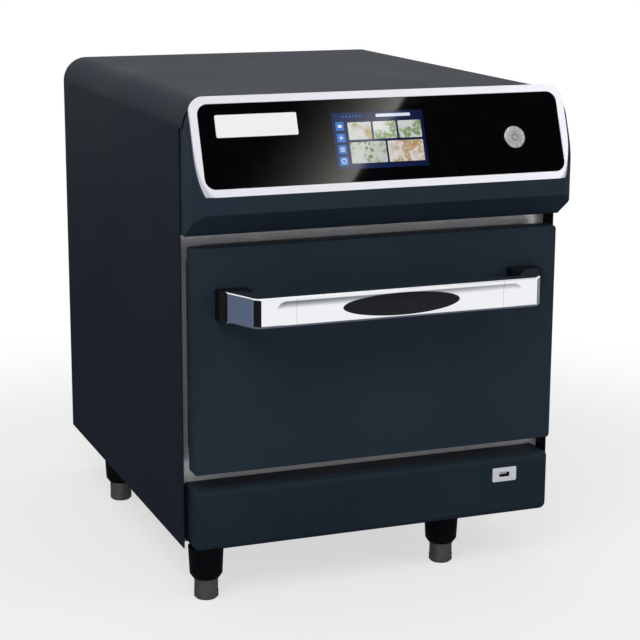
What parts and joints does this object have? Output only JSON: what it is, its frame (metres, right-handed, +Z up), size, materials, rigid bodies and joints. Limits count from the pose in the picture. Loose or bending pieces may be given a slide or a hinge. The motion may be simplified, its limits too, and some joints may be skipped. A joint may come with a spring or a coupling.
{
  "type": "high-speed oven",
  "caption": "Counter-top high-speed oven: dark casing on four screw feet, leaning glass panel with display and button, drop-down door with bright handle, lined cavity with tray.",
  "frame": {"origin": "centre of the bounding box on the floor plane", "axes": "+Z up, +X to the right of a user facing the door, +Y from the door to the back"},
  "size_m": [0.444, 0.6008, 0.556],
  "materials": {
    "casing_paint": "fine-textured navy-black powder coat",
    "door_paint": "satin navy-black powder coat",
    "stainless": "brushed stainless sheet",
    "black_sheet": "matte black coated sheet",
    "satin_aluminium": "satin anodised",
    "black_glass": "back-painted glossy glass",
    "display": "lit colour display under clear film",
    "white_plate": "plain white plate",
    "chrome": "bright plated",
    "black_plastic": "moulded black",
    "foot_steel": "turned steel, dull",
    "seal_rubber": "silicone seal",
    "wool": "mineral wool",
    "ceramic": "glazed cordierite slab",
    "circuit_board": "printed circuit board",
    "cast_metal": "plain metal parts of the works",
    "spring_steel": "spring steel",
    "screw_steel": "blackened screw heads"
  },
  "bodies": {
    "cabinet": {"casing_shell": "casing_paint", "base_pan": "black_sheet", "rear_panel": "casing_paint", "front_frame": "stainless", "plinth_cover": "door_paint", "service_port_plate": "satin_aluminium", "service_port_socket": "black_plastic", "hood_housing": "door_paint", "panel_bezel": "satin_aluminium", "panel_glass": "black_glass", "touch_display": "display", "badge_plate": "white_plate", "button_ring": "stainless", "control_board": "circuit_board", "cavity_liner": "stainless", "insulation_jacket": "wool", "jet_plate": "stainless", "tray_rails": "stainless", "blower_box": "stainless", "heater_coil": "stainless", "blower_motor": "cast_metal", "waveguide": "cast_metal", "magnetron": "cast_metal", "stirrer_motor": "black_plastic", "power_transformer": "cast_metal", "capacitor": "cast_metal", "terminal_block": "black_plastic", "cable_gland": "black_plastic", "fan_frame": "black_plastic", "fan_guard": "chrome", "exhaust_cleaner": "stainless", "exhaust_duct": "stainless", "door_switches": "black_plastic", "hinge_arms": "stainless", "leg_cups": "black_plastic", "rear_screws": "screw_steel"},
    "door": {"door_outer_panel": "door_paint", "door_inner_pan": "black_sheet", "door_plug": "stainless", "door_seal": "seal_rubber", "door_choke": "stainless", "door_insulation": "wool", "hinge_pins": "stainless", "hinge_cheeks": "stainless", "hinge_springs": "spring_steel", "latch_hooks": "stainless", "handle_feet": "black_plastic", "handle_ends": "chrome", "handle_bar": "chrome", "handle_inlay": "black_plastic", "handle_screws": "screw_steel"},
    "tray": {"cooking_tray": "ceramic"},
    "button": {"power_button": "stainless"},
    "hot_air_wheel": {"blower_wheel": "stainless"},
    "cooling_rotor": {"fan_rotor": "black_plastic"},
    "stirrer": {"mode_stirrer": "stainless"},
    "foot_front_left": {"foot_front_left": "foot_steel"},
    "foot_front_right": {"foot_front_right": "foot_steel"},
    "foot_rear_left": {"foot_rear_left": "foot_steel"},
    "foot_rear_right": {"foot_rear_right": "foot_steel"}
  },
  "joints": [
    {"name": "door_hinge", "type": "hinge", "parent": "cabinet", "child": "door", "pos_m": [0, -0.226, 0.16], "axis": [1, 0, 0], "range_deg": [0, 90], "stiffness_Nm_per_rad": 3, "springref_deg": -22.92},
    {"name": "tray_lift", "type": "slide", "parent": "cabinet", "child": "tray", "axis": [0, 0, 1], "range_m": [0, 0.04]},
    {"name": "button_press", "type": "slide", "parent": "cabinet", "child": "button", "axis": [0, 0.9348, -0.3551], "range_m": [0, 0.0015], "stiffness_N_per_m": 600, "springref_m": -0.001},
    {"name": "hot_air_wheel_spin", "type": "hinge", "parent": "cabinet", "child": "hot_air_wheel", "pos_m": [0, 0.162, 0.273], "axis": [0, 1, 0], "continuous": true},
    {"name": "cooling_fan_spin", "type": "hinge", "parent": "cabinet", "child": "cooling_rotor", "pos_m": [-0.12, 0.277, 0.19], "axis": [0, 1, 0], "continuous": true},
    {"name": "stirrer_spin", "type": "hinge", "parent": "cabinet", "child": "stirrer", "pos_m": [0.034, -0.04, 0.1285], "axis": [0, 0, 1], "continuous": true},
    {"name": "foot_screw_front_left", "type": "slide", "parent": "cabinet", "child": "foot_front_left", "axis": [0, 0, -1], "range_m": [0, 0.015]},
    {"name": "foot_screw_front_right", "type": "slide", "parent": "cabinet", "child": "foot_front_right", "axis": [0, 0, -1], "range_m": [0, 0.015]},
    {"name": "foot_screw_rear_left", "type": "slide", "parent": "cabinet", "child": "foot_rear_left", "axis": [0, 0, -1], "range_m": [0, 0.015]},
    {"name": "foot_screw_rear_right", "type": "slide", "parent": "cabinet", "child": "foot_rear_right", "axis": [0, 0, -1], "range_m": [0, 0.015]}
  ]
}
